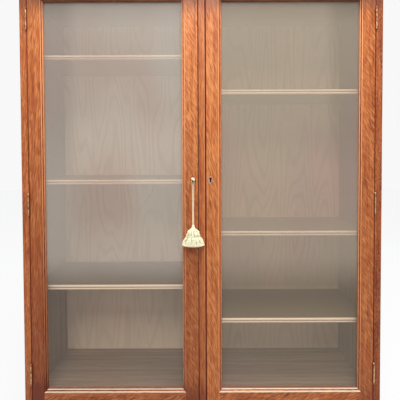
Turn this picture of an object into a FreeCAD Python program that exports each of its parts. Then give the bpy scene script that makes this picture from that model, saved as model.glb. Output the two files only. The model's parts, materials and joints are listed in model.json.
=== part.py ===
import FreeCAD, Part
import math
import os

os.makedirs("parts", exist_ok=True)
Vec = FreeCAD.Vector

# Case, in millimetres: X runs across, Y from front to back, Z up from the floor
case_width = 1223.0
case_depth = 312.0
side_thick = 24.0
partition_thick = 22.0
front_arris = 2.0
housing_depth = 8.0
partition_housing = 6.0
housing_fit = 0.1

# Heights that stack from the floor to the top
plinth_board_height = 70.0
base_mould_height = 20.0
door_gap = 1.5
frieze_height = 66.0

# Top slab, which overhangs the case at the front and both sides
top_slab_thick = 22.0
top_overhang = 38.0
top_nose_upper = 9.0
top_nose_lower = 4.0

# Doors: flat frame members with a moulded inner edge
door_thick = 22.0
door_arris = 1.2
door_stop_gap = 1.0
hinge_stile_flat = 41.5
lock_stile_flat = 45.5
top_rail_flat = 48.0
bottom_rail_flat = 64.0
sticking_width = 9.0
sight_height = 1328.0
tenon_length = 32.0
tenon_thick = 8.0
tenon_shoulder = 9.0
tenon_fit = 0.1

# Section of the moulded inner edge: two beads, as depths behind the door's front face
quirk_depth = 2.6
bead_crown_depth = 0.8
bead_foot_depth = 4.2
second_quirk_depth = 6.2
second_crown_depth = 5.0
sight_edge_depth = 8.4
glass_front_depth = 12.0
first_bead_share = 0.52
second_crown_share = 0.76

# Glass, and the beads that hold it from behind
glass_thick = 3.0
glass_edge_gap = 1.0
glazing_bead_width = 8.0
glazing_bead_depth = 6.0
glazing_bead_round = 3.0

# Boards across the case
board_thick = 22.0
bottom_board_drop = 34.0
top_board_rise = 24.0
back_rebate_depth = 12.0
back_panel_thick = 8.0
back_panel_gap = 0.5
back_panel_lap = 16.0
back_rebate_width = 8.0
bearer_thick = 22.0
front_rail_bottom = 40.0
back_rail_bottom = 20.0
glue_block_leg = 30.0
glue_block_length = 60.0
glue_block_shares = (0.02, 0.37, 0.72)

# Shelves: each bay has its own rows of pin holes, and a shelf rests at a share of the row's height
shelf_thick = 16.0
shelf_setback = 45.0
shelf_end_gap = 1.0
reed_groove = 1.8
reed_edge = 2.4
left_first_rise = 52.0
right_first_rise = 55.0
level_pitch = 62.5
last_level_drop = 130.0
shelf_places = ("lower", "middle", "upper")
left_shelf_shares = (0.26, 0.58, 0.95)
right_shelf_shares = (0.16, 0.42, 0.84)
pin_row_inset = 40.0
pin_radius = 3.0
pin_hole_depth = 9.0
pin_fit = 0.05
pin_end_gap = 0.5
pin_tab_length = 11.0
pin_tab_width = 9.0
pin_tab_thick = 2.5

# Mouldings planted on the case, as shares of their projection and height
cornice_height = 46.0
cornice_projection = 32.0
cornice_foot_share = 0.16
cornice_foot_top_share = 0.12
cornice_cove_mid_shares = (0.34, 0.56)
cornice_cove_end_shares = (0.80, 0.80)
cornice_fillet_share = 0.88
plinth_thick = 18.0
base_mould_fillet = 4.0
base_mould_mid_shares = (0.66, 0.52)
base_mould_top = 6.0
base_mould_lip = 3.0

# Butt hinges with ball tips, their knuckles proud of the face; the insets are from the door's ends
hinge_lower_inset = 130.0
hinge_upper_inset = 118.0
hinge_middle_share = 0.491
knuckle_length = 63.0
knuckle_count = 5
knuckle_radius = 3.6
knuckle_proud = 4.0
knuckle_gap = 0.3
hinge_pin_radius = 1.8
hinge_pin_fit = 0.05
ball_tip_radius = 3.4
ball_tip_rise = 3.0
leaf_thick = 1.6
leaf_width = 18.0
leaf_fit = 0.1
leaf_screw_shares = (-0.36, 0.0, 0.36)

# Wood screws with countersunk, slotted heads; the keepers' are shorter
wood_screw_length = 14.0
keeper_screw_length = 9.0
screw_shank = 1.5
screw_head = 3.0
screw_head_height = 1.5
screw_fit = 0.05
screw_slot_width = 0.8
screw_slot_depth = 0.6
back_screw_rows = 5
back_screw_columns = 3
back_screw_inset = 4.0

# Locks, let into the edge of each lock stile
keyhole_height = 801.0
keyhole_backset = 17.0
lock_case_depth = 34.0
lock_case_thick = 11.0
lock_case_wall = 1.5
lock_case_below = 12.0
lock_case_above = 24.0
lock_plate_thick = 2.0
lock_plate_width = 15.0
lock_plate_length = 74.0
lock_screw_inset = 8.0
lock_fit = 0.1
bolt_length = 24.0
bolt_height = 8.0
bolt_thick = 5.0
bolt_rise = 10.0
bolt_rest = 0.3
bolt_fit = 0.3
keeper_thick = 1.5
keeper_width = 14.0
keeper_length = 44.0
keeper_screw_inset = 6.0
keeper_window_gap = 1.0
keeper_mortise = 8.5

# Escutcheons with their keyholes
escutcheon_width = 17.5
escutcheon_length = 28.0
escutcheon_drop = 6.0
escutcheon_proud = 1.0
escutcheon_sunk = 1.4
escutcheon_edge = 0.7
keyhole_radius = 4.2
keyhole_slot_width = 4.6
keyhole_slot_length = 12.3
keyhole_wood_margin = 0.6

# Key: shank, collar, bit and ring-shaped bow; at rest the bit is past the side and short of the bolt
key_shank_radius = 2.4
key_fit = 0.08
key_collar_radius = 4.2
key_collar_length = 2.0
key_collar_stand = 7.0
key_bow_radius = 8.0
key_bow_wire = 1.6
key_bow_stand = 27.2
key_bit_reach = 8.5
key_bit_width = 5.0
key_bit_thick = 2.2
key_rest_turn = 135.0

# Cord looped round the key's neck, and the tassel that it carries
cord_radius = 1.5
cord_stand = 15.6
cord_corner_out = 4.8
cord_corner_up = 4.3
cord_side_out = 5.0
cord_side_drop = 6.0
cord_leg_out = 1.7
cord_leg_drop = 34.0
cord_drop = 153.0
cord_arc_share = 0.45
tassel_radius = 38.5
tassel_height = 74.0
tassel_half_depth = 15.0
tassel_outline_shares = {
    "hem": (0.93, 0.0),
    "hem_swell": (1.0, 0.08),
    "skirt": (0.94, 0.22),
    "shoulder": (0.64, 0.46),
    "bulb_swell": (0.58, 0.62),
    "bulb_top": (0.30, 0.78),
    "throat": (0.17, 0.84),
    "knob_swell": (0.24, 0.92),
    "knob_top": (0.17, 1.0),
}

# Cutting tools run past the faces that they open; edges are picked within the snap
overrun = 5.0
snap = 0.01

# Planes that many pieces share
half_width = case_width / 2
side_inner = half_width - side_thick
partition_half = partition_thick / 2
face_y = (top_overhang - case_depth) / 2
back_y = face_y + case_depth
panel_y = back_y - back_rebate_depth
board_front_y = face_y + door_thick + door_stop_gap
plinth_top = plinth_board_height + base_mould_height
door_bottom = plinth_top + door_gap
opening_bottom = door_bottom + bottom_rail_flat
opening_top = opening_bottom + sight_height + 2 * sticking_width
door_top = opening_top + top_rail_flat
frieze_bottom = door_top + door_gap
case_top = frieze_bottom + frieze_height
floor_board_top = opening_bottom + sticking_width - bottom_board_drop
floor_board_bottom = floor_board_top - board_thick
roof_board_bottom = opening_top - sticking_width + top_board_rise
roof_board_top = roof_board_bottom + board_thick
panel_bottom = floor_board_bottom - back_panel_lap
panel_top = case_top - back_panel_gap
door_left = -side_inner + door_gap
door_right = -partition_half - door_gap
opening_left = door_left + hinge_stile_flat
opening_right = door_right - lock_stile_flat
door_mid_y = face_y + door_thick / 2
shelf_front_y = face_y + shelf_setback
shelf_back_y = panel_y - shelf_end_gap
pin_rows_y = (shelf_front_y + pin_row_inset, shelf_back_y - pin_row_inset)
left_first_level = floor_board_top + left_first_rise
right_first_level = floor_board_top + right_first_rise
hinge_x = -side_inner + door_gap / 2
hinge_y = face_y - knuckle_proud
leaf_front_y = hinge_y + knuckle_radius + knuckle_gap
leaf_back_y = face_y + leaf_width
hinge_levels = [
    door_bottom + hinge_lower_inset,
    door_bottom + hinge_middle_share * (door_top - door_bottom),
    door_top - hinge_upper_inset,
]
key_x = door_right - keyhole_backset
key_z = door_bottom + keyhole_height
lock_mid_z = key_z + (lock_case_above - lock_case_below) / 2
bolt_bottom = key_z + bolt_rise
bolt_mid_z = bolt_bottom + bolt_height / 2


def box(x0, x1, y0, y1, z0, z1):
    return Part.makeBox(x1 - x0, y1 - y0, z1 - z0, Vec(x0, y0, z0))


def rod(radius, start, direction, length):
    return Part.makeCylinder(radius, length, start, direction)


def mirrored(shape):
    return shape.mirror(Vec(0, 0, 0), Vec(1, 0, 0))


def prism(points, run):
    return Part.Face(Part.makePolygon(list(points) + [points[0]])).extrude(run)


def joined(shapes):
    return shapes[0].fuse(shapes[1:]).removeSplitter()


def save(name, *solids):
    shape = solids[0] if len(solids) == 1 else Part.makeCompound(list(solids))
    shape.exportStep("parts/" + name + ".step")
    print(name, len(shape.Solids), round(shape.Volume, 1), shape.isValid())


def section(place, start, *steps):
    # A step of one point is a straight run; a step of two is an arc through the first to the second
    edges = []
    here = start
    for step in steps:
        end = step[-1]
        if len(step) == 1:
            edges.append(Part.LineSegment(place(*here), place(*end)).toShape())
        else:
            edges.append(Part.Arc(place(*here), place(*step[0]), place(*end)).toShape())
        here = end
    return Part.Face(Part.Wire(edges))


def rounded(shape, radius, wanted):
    return shape.makeFillet(radius, [edge for edge in shape.Edges if wanted(edge.BoundBox)])


def at(bound, axis, value):
    # True for an edge that lies wholly in the plane axis = value
    low = getattr(bound, axis + "Min")
    high = getattr(bound, axis + "Max")
    return abs(low - value) < snap and abs(high - value) < snap


# Screws

def screw(head, direction, length):
    # The head lies flush at the point given
    cone = Part.makeCone(screw_head, screw_shank, screw_head_height, head, direction)
    slot = box(-screw_head, screw_head, -screw_slot_width / 2, screw_slot_width / 2,
               -screw_slot_depth, screw_slot_depth)
    slot.Placement = FreeCAD.Placement(head, FreeCAD.Rotation(Vec(0, 0, 1), direction))
    return cone.fuse(rod(screw_shank, head, direction, length)).cut(slot)


def screw_hole(head, direction, length):
    mouth = head - direction * screw_fit
    cone = Part.makeCone(screw_head + 2 * screw_fit, screw_shank + screw_fit,
                         screw_head_height + 2 * screw_fit, mouth, direction)
    return cone.fuse(rod(screw_shank + screw_fit, mouth, direction, length + 2 * screw_fit))


def screw_holes(points, direction, length):
    return [screw_hole(point, direction, length) for point in points]


def leaf_screw_points(surface_x):
    row_y = (face_y + leaf_back_y) / 2
    return [Vec(surface_x, row_y, level + share * knuckle_length)
            for level in hinge_levels for share in leaf_screw_shares]


def keeper_screw_points():
    reach = keeper_length / 2 - keeper_screw_inset
    return [Vec(-partition_half, door_mid_y, bolt_mid_z + reach * way) for way in (-1, 1)]


def lock_screw_points():
    reach = lock_plate_length / 2 - lock_screw_inset
    return [Vec(door_right, door_mid_y, lock_mid_z + reach * way) for way in (-1, 1)]


def back_screw_points():
    # Down both long edges of the left panel, and across the floor and roof boards
    surface_y = panel_y + back_panel_thick
    side_x = -side_inner - back_screw_inset
    middle_x = -partition_half / 2
    low = floor_board_bottom + board_thick / 2
    high = roof_board_bottom + board_thick / 2
    rise = (high - low) / (back_screw_rows - 1)
    span = (middle_x - side_x) / (back_screw_columns + 1)
    points = [Vec(x, surface_y, low + rise * row)
              for x in (side_x, middle_x) for row in range(back_screw_rows)]
    for column in range(1, back_screw_columns + 1):
        points += [Vec(side_x + span * column, surface_y, z) for z in (low, high)]
    return points


# Shelf pins and their rows of holes

def level_heights(first_level):
    # As many levels as fit between the first one and the last that is of use under the roof board
    room = roof_board_bottom - last_level_drop - first_level
    return [first_level + index * level_pitch for index in range(int(room // level_pitch) + 1)]


def shelf_level(first_level, share):
    levels = level_heights(first_level)
    return levels[round(share * (len(levels) - 1))]


def pin_holes(surface_x, inward, first_level):
    holes = []
    for row_y in pin_rows_y:
        for level in level_heights(first_level):
            mouth = Vec(surface_x - inward * overrun, row_y, level - pin_radius)
            holes.append(rod(pin_radius + pin_fit, mouth, Vec(inward, 0, 0), pin_hole_depth + overrun))
    return holes


def shelf_pin(surface_x, inward, row_y, level):
    # A round shank in the board and a flat tab under the shelf
    buried = pin_hole_depth - pin_end_gap
    start = Vec(surface_x + inward * buried, row_y, level - pin_radius)
    shank = rod(pin_radius, start, Vec(-inward, 0, 0), buried + pin_tab_length)
    ends = sorted((surface_x, surface_x - inward * pin_tab_length))
    tab = box(ends[0], ends[1], row_y - pin_tab_width / 2, row_y + pin_tab_width / 2,
              level - pin_tab_thick, level)
    return shank.fuse(tab)


def bay_pins(first_level, shelf_shares):
    # Four pins for each shelf of a bay on the left of the case
    pins = []
    for share in shelf_shares:
        level = shelf_level(first_level, share)
        for row_y in pin_rows_y:
            pins.append(shelf_pin(-side_inner, -1, row_y, level))
            pins.append(shelf_pin(-partition_half, 1, row_y, level))
    return pins


# Case boards

def case_side(first_level):
    # The left side board: housings, back rebate, pin holes, hinge beds and screw holes
    board = box(-half_width, -side_inner, face_y, back_y, 0, case_top)
    board = rounded(board, front_arris, lambda b: at(b, "Y", face_y) and b.ZLength > side_thick)
    cuts = [box(-side_inner - housing_depth, -side_inner + overrun, board_front_y - housing_fit,
                panel_y + overrun, low - housing_fit, high + housing_fit)
            for low, high in ((floor_board_bottom, floor_board_top), (roof_board_bottom, roof_board_top))]
    cuts.append(box(-side_inner - back_rebate_width - back_panel_gap, -side_inner + overrun,
                    panel_y, back_y + overrun, panel_bottom - back_panel_gap, case_top + overrun))
    cuts += pin_holes(-side_inner, -1, first_level)
    half = knuckle_length / 2 + leaf_fit
    for level in hinge_levels:
        cuts.append(box(-side_inner - leaf_thick, -side_inner + overrun, face_y - overrun,
                        leaf_back_y + leaf_fit, level - half, level + half))
    cuts += screw_holes(leaf_screw_points(-side_inner), Vec(-1, 0, 0), wood_screw_length)
    cuts += screw_holes(back_screw_points(), Vec(0, -1, 0), wood_screw_length)
    return board.cut(cuts)


def centre_partition():
    # Its front edge shows between the doors, so it runs in front of the floor and roof boards
    body = box(-partition_half, partition_half, board_front_y, panel_y,
               floor_board_top - partition_housing, roof_board_bottom + partition_housing)
    strip = box(-partition_half, partition_half, face_y, board_front_y, plinth_top, frieze_bottom)
    strip = rounded(strip, front_arris, lambda b: at(b, "Y", face_y) and b.ZLength > partition_thick)
    cuts = pin_holes(-partition_half, 1, left_first_level) + pin_holes(partition_half, -1, right_first_level)
    half_height = bolt_height / 2 + keeper_window_gap
    half_thick = bolt_thick / 2 + keeper_window_gap
    mortise = box(-partition_half - overrun, keeper_mortise - partition_half, door_mid_y - half_thick,
                  door_mid_y + half_thick, bolt_mid_z - half_height, bolt_mid_z + half_height)
    half_plate = keeper_length / 2 + lock_fit
    half_bed = keeper_width / 2 + lock_fit
    bed = box(-partition_half - overrun, keeper_thick - partition_half, door_mid_y - half_bed,
              door_mid_y + half_bed, bolt_mid_z - half_plate, bolt_mid_z + half_plate)
    left_cuts = [mortise, bed] + screw_holes(keeper_screw_points(), Vec(1, 0, 0), keeper_screw_length)
    left_cuts += screw_holes(back_screw_points(), Vec(0, -1, 0), wood_screw_length)
    cuts += left_cuts + [mirrored(cut) for cut in left_cuts]
    return joined([body, strip]).cut(cuts)


def cross_board(low, groove_low):
    # A board from side to side, with a groove that takes the partition's end
    end = side_inner + housing_depth - housing_fit
    board = box(-end, end, board_front_y, panel_y, low, low + board_thick)
    groove = box(-partition_half - housing_fit, partition_half + housing_fit, board_front_y - overrun,
                 panel_y + overrun, groove_low, groove_low + partition_housing + housing_fit)
    left_holes = screw_holes(back_screw_points(), Vec(0, -1, 0), wood_screw_length)
    return board.cut([groove] + left_holes + [mirrored(hole) for hole in left_holes])


def back_panel():
    panel = box(-side_inner - back_rebate_width, -back_panel_gap / 2, panel_y, panel_y + back_panel_thick,
                panel_bottom, panel_top)
    return panel.cut(screw_holes(back_screw_points(), Vec(0, -1, 0), wood_screw_length))


def back_base_rail():
    front = panel_y - bearer_thick
    return box(-side_inner, side_inner, front, panel_y, back_rail_bottom, floor_board_bottom)


def frieze_rail():
    return box(-side_inner, side_inner, face_y, board_front_y, frieze_bottom, case_top)


def top_bearer():
    rear = board_front_y + bearer_thick
    return box(-side_inner, side_inner, board_front_y, rear, roof_board_top, case_top)


def bottom_front_rail():
    # Rebated: the front part fills the door plane below the doors, the rear part carries the floor board
    front = box(-side_inner, side_inner, face_y, board_front_y, front_rail_bottom, plinth_top)
    rear = box(-side_inner, side_inner, board_front_y, board_front_y + bearer_thick, front_rail_bottom,
               floor_board_bottom)
    return joined([front, rear])


def glue_blocks():
    # Triangular blocks in the corner between the floor board and each side
    start = board_front_y + bearer_thick
    room = panel_y - bearer_thick - start
    blocks = []
    for share in glue_block_shares:
        y = start + share * room
        corners = [Vec(-side_inner, y, floor_board_bottom),
                   Vec(-side_inner + glue_block_leg, y, floor_board_bottom),
                   Vec(-side_inner, y, floor_board_bottom - glue_block_leg)]
        block = prism(corners, Vec(0, glue_block_length, 0))
        blocks += [block, mirrored(block)]
    return blocks


def top_slab():
    reach = half_width + top_overhang
    front = face_y - top_overhang
    slab = box(-reach, reach, front, back_y, case_top, case_top + top_slab_thick)
    for z, radius in ((case_top + top_slab_thick, top_nose_upper), (case_top, top_nose_lower)):
        slab = rounded(slab, radius, lambda b: at(b, "Z", z) and (
            at(b, "Y", front) or at(b, "X", -reach) or at(b, "X", reach)))
    return slab


# Mouldings that run round the front and both sides, mitred at the front corners

def front_run(profile, reach):
    blank = profile(lambda out, z: Vec(-half_width - reach, face_y - out, z))
    corners = [(-half_width, face_y), (-half_width - reach, face_y - reach),
               (half_width + reach, face_y - reach), (half_width, face_y)]
    mitre = prism([Vec(x, y, 0) for x, y in corners], Vec(0, 0, case_top))
    return blank.extrude(Vec(2 * (half_width + reach), 0, 0)).common(mitre)


def side_run(profile, reach):
    blank = profile(lambda out, z: Vec(-half_width - out, face_y - reach, z))
    corners = [(-half_width, face_y), (-half_width - reach, face_y - reach), (-half_width - reach, back_y),
               (-half_width, back_y)]
    mitre = prism([Vec(x, y, 0) for x, y in corners], Vec(0, 0, case_top))
    return blank.extrude(Vec(0, case_depth + reach, 0)).common(mitre)


def cornice_profile(place):
    low = case_top - cornice_height

    def part(out_share, rise_share):
        return (out_share * cornice_projection, low + rise_share * cornice_height)

    end_out, end_rise = cornice_cove_end_shares
    return section(
        place, part(0, 0), [part(cornice_foot_share, 0)], [part(cornice_foot_share, cornice_foot_top_share)],
        [part(*cornice_cove_mid_shares), part(end_out, end_rise)], [part(end_out, cornice_fillet_share)],
        [part(1, cornice_fillet_share)], [part(1, 1)], [part(0, 1)], [part(0, 0)])


def plinth_profile(place):
    return section(place, (0, 0), [(plinth_thick, 0)], [(plinth_thick, plinth_board_height)],
                   [(0, plinth_board_height)], [(0, 0)])


def base_mould_profile(place):
    low = plinth_board_height
    lip = plinth_top - base_mould_lip
    fall = plinth_thick - base_mould_top
    out_share, rise_share = base_mould_mid_shares
    foot = low + base_mould_fillet
    middle = (base_mould_top + out_share * fall, foot + rise_share * (lip - foot))
    return section(
        place, (0, low), [(plinth_thick, low)], [(plinth_thick, foot)], [middle, (base_mould_top, lip)],
        [(base_mould_top, plinth_top)], [(0, plinth_top)], [(0, low)])


# Shelves

def shelf(low):
    # The front edge has two reeds with a groove between them
    middle = low + shelf_thick / 2
    quarter = shelf_thick / 4
    left = -side_inner + shelf_end_gap
    length = side_inner - partition_half - 2 * shelf_end_gap
    face = section(
        lambda y, z: Vec(left, y, z),
        (shelf_back_y, low), [(shelf_front_y + reed_edge, low)],
        [(shelf_front_y, low + quarter), (shelf_front_y + reed_groove, middle)],
        [(shelf_front_y, middle + quarter), (shelf_front_y + reed_edge, low + shelf_thick)],
        [(shelf_back_y, low + shelf_thick)], [(shelf_back_y, low)])
    return face.extrude(Vec(length, 0, 0))


# Door frame, drawn for the left door

def opening_strip(profile, side, width):
    # A strip along one side of the door's opening, mitred at both ends
    low, high = opening_bottom, opening_top
    left, right = opening_left, opening_right
    places = {
        "left": lambda u, v: Vec(left + u, face_y + v, low),
        "right": lambda u, v: Vec(right - u, face_y + v, low),
        "bottom": lambda u, v: Vec(left, face_y + v, low + u),
        "top": lambda u, v: Vec(left, face_y + v, high - u),
    }
    corners = {
        "left": [(left, low), (left + width, low + width), (left + width, high - width), (left, high)],
        "right": [(right, low), (right - width, low + width),
                  (right - width, high - width), (right, high)],
        "bottom": [(left, low), (left + width, low + width), (right - width, low + width), (right, low)],
        "top": [(left, high), (left + width, high - width), (right - width, high - width), (right, high)],
    }
    run = Vec(0, 0, high - low) if side in ("left", "right") else Vec(right - left, 0, 0)
    mitre = prism([Vec(x, face_y, z) for x, z in corners[side]], Vec(0, door_thick, 0))
    return profile(places[side]).extrude(run).common(mitre)


def sticking_profile(place):
    foot = first_bead_share * sticking_width
    return section(
        place, (0, glass_front_depth), [(0, quirk_depth)],
        [(foot / 2, bead_crown_depth), (foot, bead_foot_depth)], [(foot, second_quirk_depth)],
        [(second_crown_share * sticking_width, second_crown_depth), (sticking_width, sight_edge_depth)],
        [(sticking_width, glass_front_depth)], [(0, glass_front_depth)])


def glazing_bead_profile(place):
    low = glass_front_depth + glass_thick
    high = low + glazing_bead_depth
    turn = glazing_bead_round * (1 - math.cos(math.pi / 4))
    return section(
        place, (0, low), [(glazing_bead_width, low)], [(glazing_bead_width, high - glazing_bead_round)],
        [(glazing_bead_width - turn, high - turn), (glazing_bead_width - glazing_bead_round, high)],
        [(0, high)], [(0, low)])


def rail_rows():
    # The height of each rail's flat part
    return ((door_bottom, opening_bottom), (opening_top, door_top))


def tenon(low, high, x0, x1, fit):
    return box(x0, x1, door_mid_y - tenon_thick / 2 - fit, door_mid_y + tenon_thick / 2 + fit,
               low + tenon_shoulder - fit, high - tenon_shoulder + fit)


def rail(low, high, side):
    flat = box(opening_left, opening_right, face_y, face_y + door_thick, low, high)
    outer = door_bottom if side == "bottom" else door_top
    flat = rounded(flat, door_arris, lambda b: at(b, "Y", face_y) and at(b, "Z", outer))
    tongue = tenon(low, high, opening_left - tenon_length, opening_right + tenon_length, 0)
    return joined([flat, tongue, opening_strip(sticking_profile, side, sticking_width)])


def stile(x0, x1, side, inner_x, inward):
    # Full height, with a blind mortise for each rail's tenon
    flat = box(x0, x1, face_y, face_y + door_thick, door_bottom, door_top)
    outer = x0 if side == "left" else x1
    flat = rounded(flat, door_arris, lambda b: at(b, "Y", face_y) and (
        at(b, "X", outer) or at(b, "Z", door_bottom) or at(b, "Z", door_top)))
    ends = sorted((inner_x - inward * overrun, inner_x + inward * (tenon_length + tenon_fit)))
    mortises = [tenon(low, high, ends[0], ends[1], tenon_fit) for low, high in rail_rows()]
    return joined([flat.cut(mortises), opening_strip(sticking_profile, side, sticking_width)])


def hinge_stile():
    body = stile(door_left, opening_left, "left", opening_left, -1)
    half = knuckle_length / 2 + leaf_fit
    beds = [box(door_left - overrun, door_left + leaf_thick, face_y - overrun, leaf_back_y + leaf_fit,
                level - half, level + half) for level in hinge_levels]
    return body.cut(beds + screw_holes(leaf_screw_points(door_left), Vec(1, 0, 0), wood_screw_length))


def keyhole(radius, slot_width, slot_length, y0, y1):
    round_part = rod(radius, Vec(key_x, y0, key_z), Vec(0, 1, 0), y1 - y0)
    slot = box(key_x - slot_width / 2, key_x + slot_width / 2, y0, y1, key_z - slot_length, key_z)
    return round_part.fuse(slot)


def oval(half_wide, half_high, y0, y1):
    centre = Vec(key_x, y0, key_z - escutcheon_drop)
    curve = Part.Ellipse(centre + Vec(0, 0, half_high), centre + Vec(half_wide, 0, 0), centre)
    return Part.Face(Part.Wire(curve.toShape())).extrude(Vec(0, y1 - y0, 0))


def lock_stile():
    body = stile(opening_right, door_right, "right", opening_right, 1)
    half = lock_case_thick / 2 + lock_fit
    pocket = box(door_right - lock_case_depth - lock_fit, door_right + overrun, door_mid_y - half,
                 door_mid_y + half, key_z - lock_case_below - lock_fit, key_z + lock_case_above + lock_fit)
    half_wide = lock_plate_width / 2 + lock_fit
    half_high = lock_plate_length / 2 + lock_fit
    bed = box(door_right - lock_plate_thick, door_right + overrun, door_mid_y - half_wide,
              door_mid_y + half_wide, lock_mid_z - half_high, lock_mid_z + half_high)
    hole = keyhole(keyhole_radius + keyhole_wood_margin, keyhole_slot_width + 2 * keyhole_wood_margin,
                   keyhole_slot_length + keyhole_wood_margin, face_y - overrun, door_mid_y)
    recess = oval(escutcheon_width / 2 + lock_fit, escutcheon_length / 2 + lock_fit, face_y - overrun,
                  face_y + escutcheon_sunk)
    holes = screw_holes(lock_screw_points(), Vec(-1, 0, 0), wood_screw_length)
    return body.cut([pocket, bed, hole, recess] + holes)


def escutcheon():
    # A thin oval plate let into the stile, its front edge eased
    front = face_y - escutcheon_proud
    plate = oval(escutcheon_width / 2, escutcheon_length / 2, front, face_y + escutcheon_sunk)
    plate = rounded(plate, escutcheon_edge, lambda b: at(b, "Y", front))
    return plate.cut(keyhole(keyhole_radius, keyhole_slot_width, keyhole_slot_length, front - overrun,
                             face_y + escutcheon_sunk + overrun))


def glass():
    front = face_y + glass_front_depth
    return box(opening_left + glass_edge_gap, opening_right - glass_edge_gap, front, front + glass_thick,
               opening_bottom + glass_edge_gap, opening_top - glass_edge_gap)


def glazing_beads():
    return [opening_strip(glazing_bead_profile, side, glazing_bead_width)
            for side in ("left", "right", "bottom", "top")]


# Hinges, drawn for the left door

def knuckle_span(level, index):
    length = (knuckle_length - (knuckle_count - 1) * knuckle_gap) / knuckle_count
    low = level - knuckle_length / 2 + index * (length + knuckle_gap)
    return low, low + length


def hinge_leaf(level, x0, x1, own_knuckles, holes):
    # A plate let into the wood, with its share of the knuckles round the pin
    half = knuckle_length / 2
    pieces = [box(x0, x1, leaf_front_y, leaf_back_y, level - half, level + half)]
    for index in own_knuckles:
        low, high = knuckle_span(level, index)
        pieces.append(box(x0, x1, hinge_y, leaf_front_y, low, high))
        pieces.append(rod(knuckle_radius, Vec(hinge_x, hinge_y, low), Vec(0, 0, 1), high - low))
    bore = rod(hinge_pin_radius + hinge_pin_fit, Vec(hinge_x, hinge_y, level - knuckle_length), Vec(0, 0, 1),
               2 * knuckle_length)
    return joined(pieces).cut([bore] + holes)


def case_leaves():
    holes = screw_holes(leaf_screw_points(-side_inner), Vec(-1, 0, 0), wood_screw_length)
    return [hinge_leaf(level, -side_inner - leaf_thick, -side_inner, range(0, knuckle_count, 2), holes)
            for level in hinge_levels]


def door_leaves():
    holes = screw_holes(leaf_screw_points(door_left), Vec(1, 0, 0), wood_screw_length)
    return [hinge_leaf(level, door_left, door_left + leaf_thick, range(1, knuckle_count, 2), holes)
            for level in hinge_levels]


def hinge_pin(level):
    end = knuckle_length / 2 + ball_tip_rise
    pin = rod(hinge_pin_radius, Vec(hinge_x, hinge_y, level - end), Vec(0, 0, 1), 2 * end)
    tips = [Part.makeSphere(ball_tip_radius, Vec(hinge_x, hinge_y, level + end * way)) for way in (-1, 1)]
    return joined([pin] + tips)


# Lock, drawn for the left door

def bolt_slot(x0, x1, fit):
    half = bolt_thick / 2 + fit
    return box(x0, x1, door_mid_y - half, door_mid_y + half, bolt_bottom - fit,
               bolt_bottom + bolt_height + fit)


def lock_case():
    # A hollow case behind a plate that lies flush in the door's edge
    back_x = door_right - lock_case_depth
    plate_x = door_right - lock_plate_thick
    half = lock_case_thick / 2
    low = key_z - lock_case_below
    high = key_z + lock_case_above
    wall = lock_case_wall
    body = box(back_x, plate_x, door_mid_y - half, door_mid_y + half, low, high)
    room = box(back_x + wall, plate_x - wall, door_mid_y - half + wall, door_mid_y + half - wall,
               low + wall, high - wall)
    plate = box(plate_x, door_right, door_mid_y - lock_plate_width / 2,
                door_mid_y + lock_plate_width / 2, lock_mid_z - lock_plate_length / 2,
                lock_mid_z + lock_plate_length / 2)
    key_way = keyhole(key_shank_radius + key_fit, key_bit_thick + 2 * bolt_fit, key_bit_reach + bolt_fit,
                      door_mid_y - half - overrun, door_mid_y)
    pivot = rod(key_shank_radius + key_fit, Vec(key_x, door_mid_y, key_z), Vec(0, 1, 0), lock_case_thick)
    window = bolt_slot(plate_x - wall - snap, door_right + overrun, bolt_fit)
    holes = screw_holes(lock_screw_points(), Vec(-1, 0, 0), wood_screw_length)
    return joined([body, plate]).cut([room, key_way, pivot, window] + holes)


def lock_bolt():
    tip = door_right - bolt_rest
    return bolt_slot(tip - bolt_length, tip, 0)


def keeper_plate():
    # Let into the partition opposite the bolt, which passes through its window
    half = keeper_width / 2
    plate = box(-partition_half, keeper_thick - partition_half, door_mid_y - half, door_mid_y + half,
                bolt_mid_z - keeper_length / 2, bolt_mid_z + keeper_length / 2)
    window = bolt_slot(-partition_half - overrun, keeper_thick - partition_half + overrun, keeper_window_gap)
    return plate.cut([window] + screw_holes(keeper_screw_points(), Vec(1, 0, 0), keeper_screw_length))


# Key, cord and tassel of the left door

def key():
    # Drawn upright, with the bit hanging down, then turned to its rest
    back = Vec(0, 1, 0)
    inner_end = door_mid_y + lock_case_thick / 2
    shank_start = face_y - key_bow_stand + key_bow_radius
    shank = rod(key_shank_radius, Vec(key_x, shank_start, key_z), back, inner_end - shank_start)
    collar_start = face_y - key_collar_stand - key_collar_length
    collar = rod(key_collar_radius, Vec(key_x, collar_start, key_z), back, key_collar_length)
    bow_centre = Vec(key_x, face_y - key_bow_stand, key_z)
    bow = Part.makeTorus(key_bow_radius, key_bow_wire, bow_centre, Vec(1, 0, 0))
    bit = box(key_x - key_bit_thick / 2, key_x + key_bit_thick / 2, door_mid_y - key_bit_width / 2,
              door_mid_y + key_bit_width / 2, key_z - key_bit_reach, key_z)
    whole = joined([shank, collar, bow, bit])
    whole.rotate(Vec(key_x, face_y, key_z), back, key_rest_turn)
    return whole


def cord_route():
    # Up from the tassel, over the key's neck and down again, in the plane in front of the door
    left = [(-cord_leg_out, -cord_drop), (-cord_leg_out, -cord_leg_drop),
            (-cord_side_out, -cord_side_drop), (-cord_corner_out, cord_corner_up)]
    right = [(-x, z) for x, z in reversed(left)]
    return [Vec(key_x + x, face_y - cord_stand, key_z + z) for x, z in left + right]


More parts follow.
